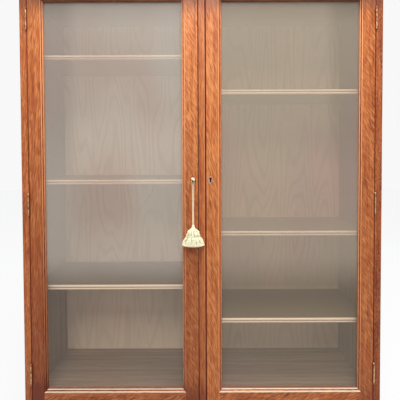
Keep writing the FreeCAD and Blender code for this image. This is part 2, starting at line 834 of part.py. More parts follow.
def cord_tube(points, radius):
    # Straight runs joined by tangent arcs, each as large as its two runs allow
    edges = []
    here = points[0]
    for before, corner, after in zip(points, points[1:], points[2:]):
        back = (before - corner).normalize()
        on = (after - corner).normalize()
        half_turn = (math.pi - back.getAngle(on)) / 2
        trim = cord_arc_share * min((before - corner).Length, (after - corner).Length)
        bend = trim / math.tan(half_turn)
        start = corner + back * trim
        end = corner + on * trim
        inward = (back + on).normalize()
        middle = corner + inward * (bend / math.cos(half_turn) - bend)
        print("cord bend radius", round(bend, 1))
        edges.append(Part.LineSegment(here, start).toShape())
        edges.append(Part.Arc(start, middle, end).toShape())
        here = end
    edges.append(Part.LineSegment(here, points[-1]).toShape())
    path = Part.Wire(edges)
    first_run = points[1] - points[0]
    circle = Part.Wire(Part.Circle(points[0], first_run, radius).toShape())
    tube = path.makePipeShell([circle], True, False)
    swept = math.pi * radius ** 2 * path.Length
    print("cord length", round(path.Length, 1), "volume share", round(tube.Volume / swept, 4))
    return tube


def key_tassel():
    # A turned outline, flattened from front to back where it hangs against the door
    top = key_z - cord_drop

    def part(name):
        out, up = tassel_outline_shares[name]
        return (out * tassel_radius, up * tassel_height)

    half = section(
        lambda r, z: Vec(r, 0, z), (0, 0), [part("hem")], [part("hem_swell"), part("skirt")],
        [part("shoulder")], [part("bulb_swell"), part("bulb_top")], [part("throat")],
        [part("knob_swell"), part("knob_top")], [(0, tassel_height)], [(0, 0)])
    turned = half.revolve(Vec(0, 0, 0), Vec(0, 0, 1), 360)
    flatten = FreeCAD.Matrix()
    flatten.scale(1, tassel_half_depth / tassel_radius, 1)
    solid = turned.transformGeometry(flatten)
    solid.translate(Vec(key_x, face_y - cord_stand, top - tassel_height))
    return solid


# Everything is written out, the right door as the left one handed

save("left_side", case_side(left_first_level))
save("right_side", mirrored(case_side(right_first_level)))
save("centre_partition", centre_partition())
save("floor_board", cross_board(floor_board_bottom, floor_board_top - partition_housing - housing_fit))
save("roof_board", cross_board(roof_board_bottom, roof_board_bottom))
save("left_back_panel", back_panel())
save("right_back_panel", mirrored(back_panel()))
save("back_base_rail", back_base_rail())
save("bottom_front_rail", bottom_front_rail())
save("glue_blocks", *glue_blocks())
save("frieze_rail", frieze_rail())
save("top_bearer", top_bearer())
save("top_slab", top_slab())
for name, profile, reach in (
    ("cornice", cornice_profile, cornice_projection),
    ("plinth", plinth_profile, plinth_thick),
    ("base_moulding", base_mould_profile, plinth_thick),
):
    save(name + "_front", front_run(profile, reach))
    save(name + "_left", side_run(profile, reach))
    save(name + "_right", mirrored(side_run(profile, reach)))
for place, share in zip(shelf_places, left_shelf_shares):
    save("left_shelf_" + place, shelf(shelf_level(left_first_level, share)))
for place, share in zip(shelf_places, right_shelf_shares):
    save("right_shelf_" + place, mirrored(shelf(shelf_level(right_first_level, share))))
left_pins = bay_pins(left_first_level, left_shelf_shares)
right_pins = [mirrored(pin) for pin in bay_pins(right_first_level, right_shelf_shares)]
save("shelf_pins", *left_pins, *right_pins)

for side, handed in (("left", lambda shape: shape), ("right", mirrored)):
    door = side + "_door_"
    save(door + "hinge_stile", handed(hinge_stile()))
    save(door + "lock_stile", handed(lock_stile()))
    save(door + "bottom_rail", handed(rail(door_bottom, opening_bottom, "bottom")))
    save(door + "top_rail", handed(rail(opening_top, door_top, "top")))
    save(door + "glass", handed(glass()))
    save(door + "glazing_beads", *[handed(bead) for bead in glazing_beads()])
    save(door + "hinge_leaves", *[handed(leaf) for leaf in door_leaves()])
    door_screws = [screw(point, Vec(1, 0, 0), wood_screw_length) for point in leaf_screw_points(door_left)]
    door_screws += [screw(point, Vec(-1, 0, 0), wood_screw_length) for point in lock_screw_points()]
    save(door + "screws", *[handed(one) for one in door_screws])
    save(door + "lock_case", handed(lock_case()))
    save(door + "lock_bolt", handed(lock_bolt()))
    save(door + "escutcheon", handed(escutcheon()))

leaves = case_leaves()
save("case_hinge_leaves", *leaves, *[mirrored(leaf) for leaf in leaves])
pins = [hinge_pin(level) for level in hinge_levels]
save("hinge_pins", *pins, *[mirrored(pin) for pin in pins])
save("keeper_plates", keeper_plate(), mirrored(keeper_plate()))
case_screws = [screw(point, Vec(-1, 0, 0), wood_screw_length) for point in leaf_screw_points(-side_inner)]
case_screws += [screw(point, Vec(1, 0, 0), keeper_screw_length) for point in keeper_screw_points()]
save("case_screws", *case_screws, *[mirrored(one) for one in case_screws])
back_screws = [screw(point, Vec(0, -1, 0), wood_screw_length) for point in back_screw_points()]
save("back_panel_screws", *back_screws, *[mirrored(one) for one in back_screws])

save("key", key())
save("key_cord", cord_tube(cord_route(), cord_radius))
save("key_tassel", key_tassel())
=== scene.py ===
import bpy
import json
import math
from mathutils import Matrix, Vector


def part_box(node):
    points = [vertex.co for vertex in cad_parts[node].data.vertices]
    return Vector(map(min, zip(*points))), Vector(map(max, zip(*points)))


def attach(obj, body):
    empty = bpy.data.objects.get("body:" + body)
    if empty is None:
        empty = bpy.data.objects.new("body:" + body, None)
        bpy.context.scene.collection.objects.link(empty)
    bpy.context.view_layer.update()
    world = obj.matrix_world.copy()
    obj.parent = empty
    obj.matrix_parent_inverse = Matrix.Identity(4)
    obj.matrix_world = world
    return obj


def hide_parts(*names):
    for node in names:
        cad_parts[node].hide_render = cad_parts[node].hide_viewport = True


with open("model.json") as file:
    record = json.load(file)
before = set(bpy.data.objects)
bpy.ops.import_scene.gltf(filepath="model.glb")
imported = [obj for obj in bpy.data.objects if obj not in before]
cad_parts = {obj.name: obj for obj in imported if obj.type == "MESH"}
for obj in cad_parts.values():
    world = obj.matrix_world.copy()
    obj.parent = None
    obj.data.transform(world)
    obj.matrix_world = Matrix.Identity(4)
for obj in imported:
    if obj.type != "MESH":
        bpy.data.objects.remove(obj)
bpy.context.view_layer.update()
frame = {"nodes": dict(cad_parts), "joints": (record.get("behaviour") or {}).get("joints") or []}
bpy.ops.object.select_all(action="DESELECT")


# Carcase boards. The sides, partition, rails and base are quarter-sawn oak, housed and
# glued together and finished in a warm brown varnish. Each board is cut from its own
# plank, so its grain, its rays and its tone are a little different from its neighbour's.

# Sockets of a Mix node that mixes colours
MIX_FACTOR = 0
MIX_FIRST = 6
MIX_SECOND = 7
MIX_RESULT = 2
LEVEL = (0, 0, 0)
UNMOVED = (0, 0, 0)
NOISE_ROUGH = 0.5


class Wire:
    """An output of one of a material's nodes; sums on wires add Math nodes."""

    def __init__(self, tree, socket=None):
        self.tree = tree
        self.socket = socket

    def node(self, kind, settings, sockets, out=0):
        node = self.tree.nodes.new("ShaderNode" + kind)
        for name, value in settings.items():
            setattr(node, name, value)
        for name, value in sockets.items():
            if isinstance(value, Wire):
                self.tree.links.new(value.socket, node.inputs[name])
            else:
                node.inputs[name].default_value = value
        return None if out is None else Wire(self.tree, node.outputs[out])

    def math(self, operation, first, second=0.0):
        return self.node("Math", {"operation": operation}, {0: first, 1: second})

    def __add__(self, other):
        return self.math("ADD", self, other)

    def __radd__(self, other):
        return self.math("ADD", other, self)

    def __sub__(self, other):
        return self.math("SUBTRACT", self, other)

    def __rsub__(self, other):
        return self.math("SUBTRACT", other, self)

    def __mul__(self, other):
        return self.math("MULTIPLY", self, other)

    def __rmul__(self, other):
        return self.math("MULTIPLY", other, self)

    def __abs__(self):
        return self.math("ABSOLUTE", self)


def new_finish(name):
    material = bpy.data.materials.new(name)
    material.use_nodes = True
    material.node_tree.nodes.clear()
    return material, Wire(material.node_tree)


def colour(red, green, blue):
    # A colour as a screen shows it, 0 to 255, turned into light by the screen's own curve
    def light(level):
        share = level / 255
        return share / 12.92 if share <= 0.04045 else ((share + 0.055) / 1.055) ** 2.4
    return (light(red), light(green), light(blue), 1.0)


def mixed(pen, factor, first, second):
    sockets = {MIX_FACTOR: factor, MIX_FIRST: first, MIX_SECOND: second}
    return pen.node("Mix", {"data_type": "RGBA"}, sockets, MIX_RESULT)


def rise(pen, value, low, high):
    # 0 below low and 1 above high, with a soft step between
    return pen.node("MapRange", {"interpolation_type": "SMOOTHSTEP"},
                    {"Value": value, "From Min": low, "From Max": high})


def strip(pen, value, low, high, soft):
    # 1 between low and high, falling to 0 over the soft distance on either side
    return rise(pen, value, low - soft, low) * (1 - rise(pen, value, high, high + soft))


def noise(pen, place, turn, size, detail, offset):
    # Noise whose lumps have the given size along each turned axis, in metres
    spot = pen.node("Mapping", {"vector_type": "TEXTURE"},
                    {"Vector": place, "Location": offset, "Rotation": turn, "Scale": size})
    return pen.node("TexNoise", {},
                    {"Vector": spot, "Scale": 1.0, "Detail": detail, "Roughness": NOISE_ROUGH})


def grown(pen, place, turn, grain, lumps, offset):
    # Noise drawn out along the grain
    long, short, detail = lumps
    size = tuple(long if axis == grain else short for axis in "XYZ")
    return noise(pen, place, turn, size, detail, offset)


def along(pen, place, axis):
    return pen.node("SeparateXYZ", {}, {"Vector": place}, axis)


def bumps(pen, strength, depth, height):
    return pen.node("Bump", {}, {"Strength": strength, "Distance": depth, "Height": height})


def coat(pen, sockets):
    # The surface itself, wired to the output of its material
    surface = pen.node("BsdfPrincipled", {}, sockets)
    pen.node("OutputMaterial", {}, {"Surface": surface}, None)


def dress(node, material):
    for slot in frame["nodes"][node].material_slots:
        slot.material = material


OAK_PALE = colour(224, 136, 74)
OAK_GROUND = colour(176, 92, 46)
OAK_DEEP = colour(112, 46, 20)
OAK_RAY = colour(244, 172, 110)
CORNICE_SHADOW = colour(92, 52, 44)
GAP_SHADE = colour(104, 18, 2)
BARE_PALE = colour(150, 130, 112)
BARE_LINE = colour(130, 108, 92)
BARE_SHADE = colour(98, 88, 82)

# Each noise in the oak: the size of its lumps along the grain and across it, in metres, and
# how much detail they hold
OAK_BANDS = (0.6, 0.014, 2.0)
OAK_FIBRES = (0.075, 0.0040, 2.0)
OAK_PORES = (0.030, 0.0024, 1.0)
OAK_FIGURE = (0.034, 0.0046, 1.0)
OAK_RAYS = (0.028, 0.0030, 0.0)
OAK_PATCHES = (0.10, 0.03, 1.0)
# Each board's noise starts this much further on than that of the board before it
PLANK_STEP = 0.731

# Where a noise or a tone begins to show, and where it shows in full
RAY_STEP = (0.50, 0.66)
PATCH_STEP = (0.34, 0.52)
PORE_STEP = (0.56, 0.70)
PALE_STEP = (0.35, 0.95)
DEEP_STEP = (-0.1, 0.45)
BARE_STEP = (0.35, 0.65)

# Heights between which the wood is painted darker towards its foot, as shade of the light falling
# off downwards, and darker again at its foot, across which a painted shadow of the cornice lies on
# its head, and above which its bare inner faces carry painted shade
FALLOFF_SHADE_HEIGHTS = (0.15, 1.35)
FOOT_HEIGHTS = (0.12, 0.23)
CORNICE_SHADOW_HEIGHTS = (1.43, 1.50)
BARE_SHADE_HEIGHTS = (0.38, 0.52)

# How strongly each of them shows
MIDDLE = 0.5
BAND_SHARE = 0.9
FIGURE_SHARE = 1.6
RAY_SHARE = 0.6
FOOT_SHARE = 0.8
PORE_SHARE = 0.3
CORNICE_SHADOW_SHARE = 0.6
BARE_SHADE_SHARE = 0.5
BARE_BAND_SHARE = 0.6
BARE_FIBRE_SHARE = 0.4

# The relief of the wood under its varnish, and how rough each part of it is
WOOD_BUMP = 0.3
WOOD_BUMP_DEPTH = 0.0005
FIBRE_RELIEF = 0.3
RAY_RELIEF = 0.2
PORE_RELIEF = 0.6
VARNISH_ROUGH = 0.42
RAY_GLOSS = 0.10
PORE_ROUGH = 0.2
BARE_ROUGH = 0.3
SEAM_ROUGH = 0.5
OAK_SHINE = 0.3

# How far painted shade reaches past a gap, and past the one where the right door closes, and
# how dark it is
GAP_SHADE_REACH = 0.0012
CLOSING_SHADE_REACH = 0.0030
GAP_SHADE_FAINT = 0.5
GAP_SHADE_DARK = 0.95
# Over what distance each kind of edge in the paint fades out
PAINTED_LIGHT_SOFT = 0.0005
EDGE_SOFT = 0.001
FRONT_SOFT = 0.002

side_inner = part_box("right_side")[0].x
partition_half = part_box("centre_partition")[1].x
door_low, door_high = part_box("right_door_lock_stile")
floor_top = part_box("floor_board")[1].z
roof_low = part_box("roof_board")[0].z
door_gap = door_low.x - partition_half
# Painted shade lies along the gaps on both sides of each door, and darkest where the right one closes
GAP_SHADES = ((-side_inner - GAP_SHADE_REACH, -side_inner + door_gap + GAP_SHADE_REACH, GAP_SHADE_FAINT),
         (-partition_half - door_gap - GAP_SHADE_REACH, -partition_half + GAP_SHADE_REACH, GAP_SHADE_FAINT),
         (partition_half, partition_half + door_gap + CLOSING_SHADE_REACH, GAP_SHADE_DARK),
         (side_inner - door_gap - GAP_SHADE_REACH, side_inner + GAP_SHADE_REACH, GAP_SHADE_FAINT))


def oak_finish(name, grain, lean, rays, shade, darker_below, face="Y", painted_light=()):
    material, pen = new_finish(name)
    plank = PLANK_STEP * len(bpy.data.materials)
    offset = (plank, -plank, plank / 2)
    place = pen.node("TexCoord", {}, {}, "Object")
    across = along(pen, place, "X")
    depth = along(pen, place, "Y")
    height = along(pen, place, "Z")
    slant = math.radians(-lean)
    turn = tuple(slant if axis == face else 0 for axis in "XYZ")
    band = grown(pen, place, LEVEL, grain, OAK_BANDS, offset)
    fibre = grown(pen, place, LEVEL, grain, OAK_FIBRES, offset)
    pore = rise(pen, grown(pen, place, LEVEL, grain, OAK_PORES, offset), *PORE_STEP)
    figure = grown(pen, place, turn, grain, OAK_FIGURE, offset)
    patch = rise(pen, grown(pen, place, LEVEL, grain, OAK_PATCHES, offset), *PATCH_STEP)
    ray = rise(pen, grown(pen, place, turn, grain, OAK_RAYS, offset), *RAY_STEP) * patch
    # Painted shade: darker towards the foot, as the light falls off downwards
    falloff_shade = 1 - rise(pen, height, *FALLOFF_SHADE_HEIGHTS)
    foot = 1 - rise(pen, height, *FOOT_HEIGHTS)
    front = 1 - rise(pen, depth, door_high.y, door_high.y + FRONT_SOFT)
    # Painted shadow of the cornice across the top of the front faces
    cornice_shadow = rise(pen, height, *CORNICE_SHADOW_HEIGHTS) * front

    tone = MIDDLE + (band - MIDDLE) * BAND_SHARE + (fibre - MIDDLE)
    tone = tone + (figure - MIDDLE) * (rays * FIGURE_SHARE) + shade
    body = mixed(pen, rise(pen, tone, *PALE_STEP), OAK_GROUND, OAK_PALE)
    body = mixed(pen, 1 - rise(pen, tone, *DEEP_STEP), body, OAK_DEEP)
    body = mixed(pen, ray * (rays * RAY_SHARE), body, OAK_RAY)
    # Painted highlights and shade on edges, beads and ledges, and inside a keyhole
    for limits, paint, share in painted_light:
        for axis, low, high in limits:
            value = {"X": across, "Y": depth, "Z": height}[axis]
            share = strip(pen, value, low, high, PAINTED_LIGHT_SOFT) * share
        body = mixed(pen, share, body, paint)
    dark = falloff_shade * darker_below + foot * (darker_below * FOOT_SHARE) + pore * PORE_SHARE
    body = mixed(pen, dark, body, OAK_DEEP)
    body = mixed(pen, cornice_shadow * CORNICE_SHADOW_SHARE, body, CORNICE_SHADOW)

    # Painted shade along the gaps beside the doors
    gap_shade = 0.0
    for low, high, strength in GAP_SHADES:
        gap_shade = strip(pen, across, low, high, PAINTED_LIGHT_SOFT) * strength + gap_shade
    gap_shade = strip(pen, height, door_low.z, door_high.z, EDGE_SOFT) * front * gap_shade
    body = mixed(pen, gap_shade, body, GAP_SHADE)

    between_sides = strip(pen, across, -side_inner, side_inner, EDGE_SOFT)
    between_ends = strip(pen, height, floor_top, roof_low, EDGE_SOFT)
    inside = (1 - front) * (between_sides * between_ends)
    bare_tone = band * BARE_BAND_SHARE + fibre * BARE_FIBRE_SHARE
    bare = mixed(pen, rise(pen, bare_tone, *BARE_STEP), BARE_LINE, BARE_PALE)
    # Painted shade on the bare inner faces higher up
    bare = mixed(pen, rise(pen, height, *BARE_SHADE_HEIGHTS) * BARE_SHADE_SHARE, bare, BARE_SHADE)
    body = mixed(pen, inside, body, bare)

    relief = fibre * FIBRE_RELIEF + ray * RAY_RELIEF - pore * PORE_RELIEF
    rough = VARNISH_ROUGH - ray * RAY_GLOSS + pore * PORE_ROUGH
    rough = rough + inside * BARE_ROUGH + gap_shade * SEAM_ROUGH
    coat(pen, {"Base Color": body, "Roughness": rough, "Specular IOR Level": OAK_SHINE,
               "Normal": bumps(pen, WOOD_BUMP, WOOD_BUMP_DEPTH, relief)})
    return material


# Grain axis, lean of the rays in degrees, their strength, the tone of each board, how much darker
# it grows towards its foot (painted shade of the light falling off downwards, darker again at the foot
# itself), and the axis that its broad face looks along
CARCASE_BOARDS = {
    "left_side": ("Z", 12, 0.4, 0.0, 0.3, "X"),
    "right_side": ("Z", 20, 0.4, -0.25, 0.3, "X"),
    "centre_partition": ("Z", 8, 0.35, 0.05, 0.45, "Y"),
    "floor_board": ("X", 30, 0.3, -0.1, 0.2, "Z"),
    "roof_board": ("X", 30, 0.3, -0.1, 0.2, "Z"),
    "frieze_rail": ("X", 40, 0.6, 0.0, 0.2, "Y"),
    "bottom_front_rail": ("X", 40, 0.4, -0.1, 0.3, "Y"),
    "back_base_rail": ("X", 20, 0.1, -0.2, 0.3, "Y"),
    "top_bearer": ("X", 20, 0.1, -0.2, 0.2, "Y"),
    "glue_blocks": ("Z", 20, 0.1, -0.1, 0.2, "Y"),
}
ARRIS_HIGHLIGHT = colour(236, 156, 112)
ARRIS_WIDTH = 0.0028
ARRIS_HIGHLIGHT_SHARE = 0.6
# A painted highlight along the right edge of the partition's front
arris = [("X", partition_half - ARRIS_WIDTH, partition_half - PAINTED_LIGHT_SOFT)]
for board, (grain, lean, rays, shade, darker_below, face) in CARCASE_BOARDS.items():
    painted_light = [(arris, ARRIS_HIGHLIGHT, ARRIS_HIGHLIGHT_SHARE)] if board == "centre_partition" else []
    dress(board, oak_finish("oak_" + board, grain, lean, rays, shade, darker_below, face, painted_light))


# Plinth, base moulding, cornice and top. They are planted on the carcase with glue and
# mitred at its front corners, so the grain of each runs along its own length. The same
# oak and varnish cover them.

PLANTED_MOULDINGS = {
    "top_slab": ("X", 25, 0.4, 0.0, 0.0, "Z"),
    "cornice_front": ("X", 40, 0.3, 0.0, 0.0, "Y"),
    "cornice_left": ("Y", 40, 0.3, 0.0, 0.0, "X"),
    "cornice_right": ("Y", 40, 0.3, 0.0, 0.0, "X"),
    "plinth_front": ("X", 40, 0.6, 0.0, 0.15, "Y"),
    "plinth_left": ("Y", 40, 0.5, 0.0, 0.15, "X"),
    "plinth_right": ("Y", 40, 0.5, 0.0, 0.15, "X"),
    "base_moulding_front": ("X", 40, 0.3, 0.0, 0.15, "Y"),
    "base_moulding_left": ("Y", 40, 0.3, 0.0, 0.15, "X"),
    "base_moulding_right": ("Y", 40, 0.3, 0.0, 0.15, "X"),
}
for moulding, (grain, lean, rays, shade, darker_below, face) in PLANTED_MOULDINGS.items():
    dress(moulding, oak_finish("oak_" + moulding, grain, lean, rays, shade, darker_below, face))


# Back panels. Two wide boards of plain-sawn oak, thinner and never varnished, stand in
# rebates behind the shelves. Their tall arched figure has gone grey and pale behind
# the glass, with a band of painted shade across it and painted light below.

BACK_PALE = colour(216, 184, 152)
BACK_GREY = colour(172, 150, 116)
BACK_PINK = colour(208, 158, 130)
BACK_LINE = colour(140, 106, 78)
BACK_SHADE = colour(104, 86, 72)
BACK_PALER = colour(250, 232, 212)
BACK_RAW = colour(168, 124, 80)
# Each noise: the size of its lumps along X, Y and Z, in metres, and their detail
BACK_SWAY = ((0.11, 0.11, 0.75), 1.0)
BACK_FIBRES = ((0.003, 0.003, 0.16), 2.0)
BACK_BLOTCHES = ((0.14, 0.14, 0.26), 2.0)
ARCH_COUNT = 80.0
ARCH_STEP = (0.1, 1.0)
BLOTCH_STEP = (0.38, 0.62)
# A panel's edges turn from the inner face's colour to raw wood between these depths behind its inner
# face
OUTER_NEAR = 0.001
OUTER_FAR = 0.003
# A band of painted shade crosses the back at these heights, with painted light below it
SHADE_BAND_LOW = 0.42
SHADE_BAND_HIGH = 0.46
SHADE_BAND_SOFT = 0.10
SHADE_BAND_SHARE = 0.35
BACK_PALE_SHARE = 0.8
# The arches are drawn less strongly below the band of painted shade
ARCH_SHARE = 0.3
ARCH_QUIETED = 0.19
ARCH_RELIEF = 0.5
BACK_ROUGH = 0.6
BACK_FIBRE_ROUGH = 0.2
BACK_SHINE = 0.2


def back_finish(name, panel, paler, painted_light_below):
    material, pen = new_finish(name)
    plank = PLANK_STEP * len(bpy.data.materials)
    offset = (plank, plank, plank)
    place = pen.node("TexCoord", {}, {}, "Object")
    height = along(pen, place, "Z")
    depth = along(pen, place, "Y")
    inner_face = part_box(panel)[0].y
    outer = rise(pen, depth, inner_face + OUTER_NEAR, inner_face + OUTER_FAR)
    sway = noise(pen, place, LEVEL, *BACK_SWAY, offset)
    arch = rise(pen, pen.math("SINE", sway * ARCH_COUNT), *ARCH_STEP)
    fibre = noise(pen, place, LEVEL, *BACK_FIBRES, offset)
    blotch = noise(pen, place, LEVEL, *BACK_BLOTCHES, offset)
    shade_band = strip(pen, height, SHADE_BAND_LOW, SHADE_BAND_HIGH, SHADE_BAND_SOFT)
    foot = 1 - rise(pen, height, SHADE_BAND_LOW - SHADE_BAND_SOFT, SHADE_BAND_LOW)
    quiet = (1 - rise(pen, height, SHADE_BAND_HIGH, SHADE_BAND_HIGH + SHADE_BAND_SOFT)) * (1 - outer)
    body = mixed(pen, rise(pen, blotch, *BLOTCH_STEP), BACK_GREY, BACK_PINK)
    body = mixed(pen, fibre * BACK_PALE_SHARE, body, BACK_PALE)
    # Painted shade in a band across the back, then paler all over by its share and painted light below
    # the band
    body = mixed(pen, shade_band * SHADE_BAND_SHARE, body, BACK_SHADE)
    body = mixed(pen, paler + foot * painted_light_below, body, BACK_PALER)
    body = mixed(pen, outer, body, mixed(pen, fibre, BACK_RAW, BACK_GREY))
    body = mixed(pen, arch * (ARCH_SHARE - quiet * ARCH_QUIETED), body, BACK_LINE)
    coat(pen, {"Base Color": body, "Roughness": BACK_ROUGH + fibre * BACK_FIBRE_ROUGH,
               "Normal": bumps(pen, WOOD_BUMP, WOOD_BUMP_DEPTH, fibre - arch * ARCH_RELIEF),
               "Specular IOR Level": BACK_SHINE})
    return material


dress("left_back_panel", back_finish("left_back", "left_back_panel", paler=0.65, painted_light_below=0.1))
dress("right_back_panel", back_finish("right_back", "right_back_panel", paler=0.1, painted_light_below=0.85))


# Shelves. Three boards a bay rest on round pins with a flat tab. Their front edges are
# worked with two reeds and a groove, and have been rubbed pale by books; the reeds are painted paler
# still as highlights, and the groove is painted dark as shade.

SHELF_TOP = colour(94, 78, 60)
SHELF_EDGE_WORN_AND_LIT = colour(255, 230, 204)
SHELF_GROOVE_SHADE = colour(132, 60, 22)
SHELF_FIBRES = ((0.3, 0.004, 0.004), 3.0)
SHELF_FIBRE_SHARE = 0.3
# How far back the pale edge reaches, then half the groove's height and how much of it is
# dark in full, as painted shade
EDGE_BAND = 0.0035
GROOVE_HALF = 0.0016
GROOVE_CORE = 0.7
GROOVE_SHARE = 0.9
# How far the upper and the lower reed of a shelf are painted pale, as wear and as highlights; where
# one reed is paler than the other, that is painted light and shade
REED_WEAR_AND_HIGHLIGHTS = (0.98, 0.98)
REED_WEAR_AND_LIGHT_BY_SHELF = {"left_shelf_upper": (1.0, 0.45), "right_shelf_upper": (0.8, 1.0)}
SHELF_ROUGH = 0.55
SHELF_FIBRE_ROUGH = 0.15
EDGE_GLOSS = 0.25
SHELF_SHINE = 0.5


def shelf_finish(shelf):
    material, pen = new_finish("worn_" + shelf)
    low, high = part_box(shelf)
    middle = (low.z + high.z) / 2
    plank = PLANK_STEP * len(bpy.data.materials)
    offset = (plank, plank, plank)
    place = pen.node("TexCoord", {}, {}, "Object")
    depth = along(pen, place, "Y")
    height = along(pen, place, "Z")
    fibre = noise(pen, place, LEVEL, *SHELF_FIBRES, offset)
    edge = 1 - rise(pen, depth, low.y + EDGE_BAND, low.y + 2 * EDGE_BAND)
    off_middle = abs(height - middle)
    groove = edge * (1 - rise(pen, off_middle, GROOVE_HALF * GROOVE_CORE, GROOVE_HALF))
    upper_reed, lower_reed = REED_WEAR_AND_LIGHT_BY_SHELF.get(shelf, REED_WEAR_AND_HIGHLIGHTS)
    over = rise(pen, height, middle - GROOVE_HALF, middle + GROOVE_HALF)
    body = mixed(pen, fibre * SHELF_FIBRE_SHARE, SHELF_TOP, BACK_GREY)
    body = mixed(pen, edge * (lower_reed + over * (upper_reed - lower_reed)), body, SHELF_EDGE_WORN_AND_LIT)
    # Painted shade in the groove between the reeds
    body = mixed(pen, groove * GROOVE_SHARE, body, SHELF_GROOVE_SHADE)
    coat(pen, {"Base Color": body,
               "Roughness": SHELF_ROUGH + fibre * SHELF_FIBRE_ROUGH - edge * EDGE_GLOSS,
               "Specular IOR Level": SHELF_SHINE})
    return material


for bay in ("left", "right"):
    for level_name in ("lower", "middle", "upper"):
        shelf = bay + "_shelf_" + level_name
        dress(shelf, shelf_finish(shelf))


# Door frames. Stiles and rails are quarter-sawn oak about 22 mm thick, joined with
# mortise and tenon, with two beads moulded on their inner edge. The rays lean across
# the grain of the stiles in tight glossy streaks.

# The same values as for the carcase boards, but all of these face along Y
DOOR_MEMBERS = {
    "left_door_hinge_stile": ("Z", -8, 0.55, 0.02, 0.72),
    "left_door_lock_stile": ("Z", 28, 0.8, 0.05, 0.5),
    "left_door_top_rail": ("X", 40, 0.5, 0.0, 0.2),
    "left_door_bottom_rail": ("X", 30, 0.7, -0.2, 0.1),
    "right_door_hinge_stile": ("Z", 33, 0.65, -0.04, 0.3),
    "right_door_lock_stile": ("Z", 16, 0.55, 0.1, 0.15),
    "right_door_top_rail": ("X", 40, 0.5, 0.0, 0.2),
    "right_door_bottom_rail": ("X", 30, 0.7, -0.1, 0.0),
    "left_door_glazing_beads": ("Z", 10, 0.2, 0.0, 0.2),
    "right_door_glazing_beads": ("Z", 10, 0.2, 0.0, 0.2),
}
BEAD_HIGHLIGHT = colour(255, 182, 130)
BEAD_SHADOW = colour(120, 56, 28)
LEDGE_HIGHLIGHT = colour(255, 240, 214)
KEYHOLE_SHADE = colour(30, 6, 2)
# Painted highlights on the two beads and painted shade in the quirk between them: how far each lies
# from the flat of a lock stile, its width and its paint, and then the share of each of the three on
# each stile
BEAD_PAINTED_LIGHT = ((-0.0016, 0.0030, BEAD_HIGHLIGHT), (0.0014, 0.0028, BEAD_SHADOW), (0.0048, 0.0042, BEAD_HIGHLIGHT))
BEAD_PAINTED_LIGHT_SHARES = {
    "left_door_hinge_stile": (0.9, 0.1, 0.5),
    "left_door_lock_stile": (0.75, 0.2, 0.7),
    "right_door_hinge_stile": (0.95, 0.1, 0.65),
    "right_door_lock_stile": (0.6, 0.5, 0.2),
}
# On a hinge stile all three lie this much nearer the glass
HINGE_BEAD_SHIFT = 0.0020
# The moulding of a rail is this wide, and that of a stile begins this far outside the glass
STICKING_WIDTH = 0.009
GLASS_EDGE_GAP = 0.001
# How deep the painted shadow in front of the glass is, and how far in from the face a keyhole is
# painted dark as shade
GLASS_SHADE_DEPTH = 0.0026
GLASS_SHADE_SHARE = 0.5
HOLE_LIP = 0.0008
# Painted highlights on the two ledges of a bottom rail, and the painted shadow behind them
LOWER_LEDGE = 0.0037
LOWER_LEDGE_SHARE = 1.0
UPPER_LEDGE = 0.0030
UPPER_LEDGE_SHARE = 0.8
LEDGE_SHADE_DEPTH = 0.0046
LEDGE_SHADE_SHARE = 0.75


def painted_bead_light(member):
    # Painted highlights on the beads of a stile and on the ledges of a bottom rail, and painted shade
    # in the quirk of a stile, in front of the glass and inside a keyhole.
    door = member.split("_door_")[0] + "_door_"
    glass_low, glass_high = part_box(door + "glass")
    low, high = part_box(member)
    if member.endswith("bottom_rail"):
        flat = high.z - STICKING_WIDTH
        shade = ("Y", glass_low.y - LEDGE_SHADE_DEPTH, glass_low.y)
        return [([("Z", flat, flat + LOWER_LEDGE)], LEDGE_HIGHLIGHT, LOWER_LEDGE_SHARE),
                ([("Z", high.z - UPPER_LEDGE, high.z)], LEDGE_HIGHLIGHT, UPPER_LEDGE_SHARE),
                ([shade], BEAD_SHADOW, LEDGE_SHADE_SHARE)]
    if not member.endswith("stile"):
        return []

    on_left = low.x < glass_low.x - GLASS_EDGE_GAP
    side = 1 if on_left else -1
    flat = glass_low.x - GLASS_EDGE_GAP if on_left else glass_high.x + GLASS_EDGE_GAP
    shift = HINGE_BEAD_SHIFT if member.endswith("hinge_stile") else 0.0
    rows = []
    for (away, width, paint), share in zip(BEAD_PAINTED_LIGHT, BEAD_PAINTED_LIGHT_SHARES[member]):
        ends = sorted((flat + side * (away + shift), flat + side * (away + shift + width)))
        rows.append(([("X", ends[0], ends[1])], paint, share))
    shade = ("Y", glass_low.y - GLASS_SHADE_DEPTH, glass_low.y)
    rows.append(([shade], BEAD_SHADOW, GLASS_SHADE_SHARE))
    if member.endswith("lock_stile"):
        # Painted shade inside the keyhole
        plate_low, plate_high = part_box(door + "escutcheon")
        hole = [("X", plate_low.x, plate_high.x), ("Z", plate_low.z, plate_high.z),
                ("Y", low.y + HOLE_LIP, high.y)]
        rows.append((hole, KEYHOLE_SHADE, 1.0))
    return rows


for member, (grain, lean, rays, shade, darker_below) in DOOR_MEMBERS.items():
    dress(member, oak_finish("oak_" + member, grain, lean, rays, shade, darker_below, "Y", painted_bead_light(member)))


# Door panes. Old drawn glass, 3 mm thick and not quite flat, held from behind by the
# glazing beads. A thin pale veil greys what stands behind it: partly a film of dust and polish, and
# partly painted reflection of the room in the glass.

VEIL_REFLECTION_LEFT = colour(232, 220, 206)
VEIL_REFLECTION_RIGHT = colour(224, 208, 186)
VEIL_REFLECTION_ROSE = colour(222, 198, 184)
GLASS_CLEAR = (0.985, 0.975, 0.955, 1.0)
PANE_OFFSET = (0.3, 0.1, 0.7)
PANE_RIPPLE = ((0.35, 0.35, 0.16), 0.0)
PANE_SMEAR = ((0.3, 0.3, 0.5), 1.0)
ROSE_STEP = (0.42, 0.68)
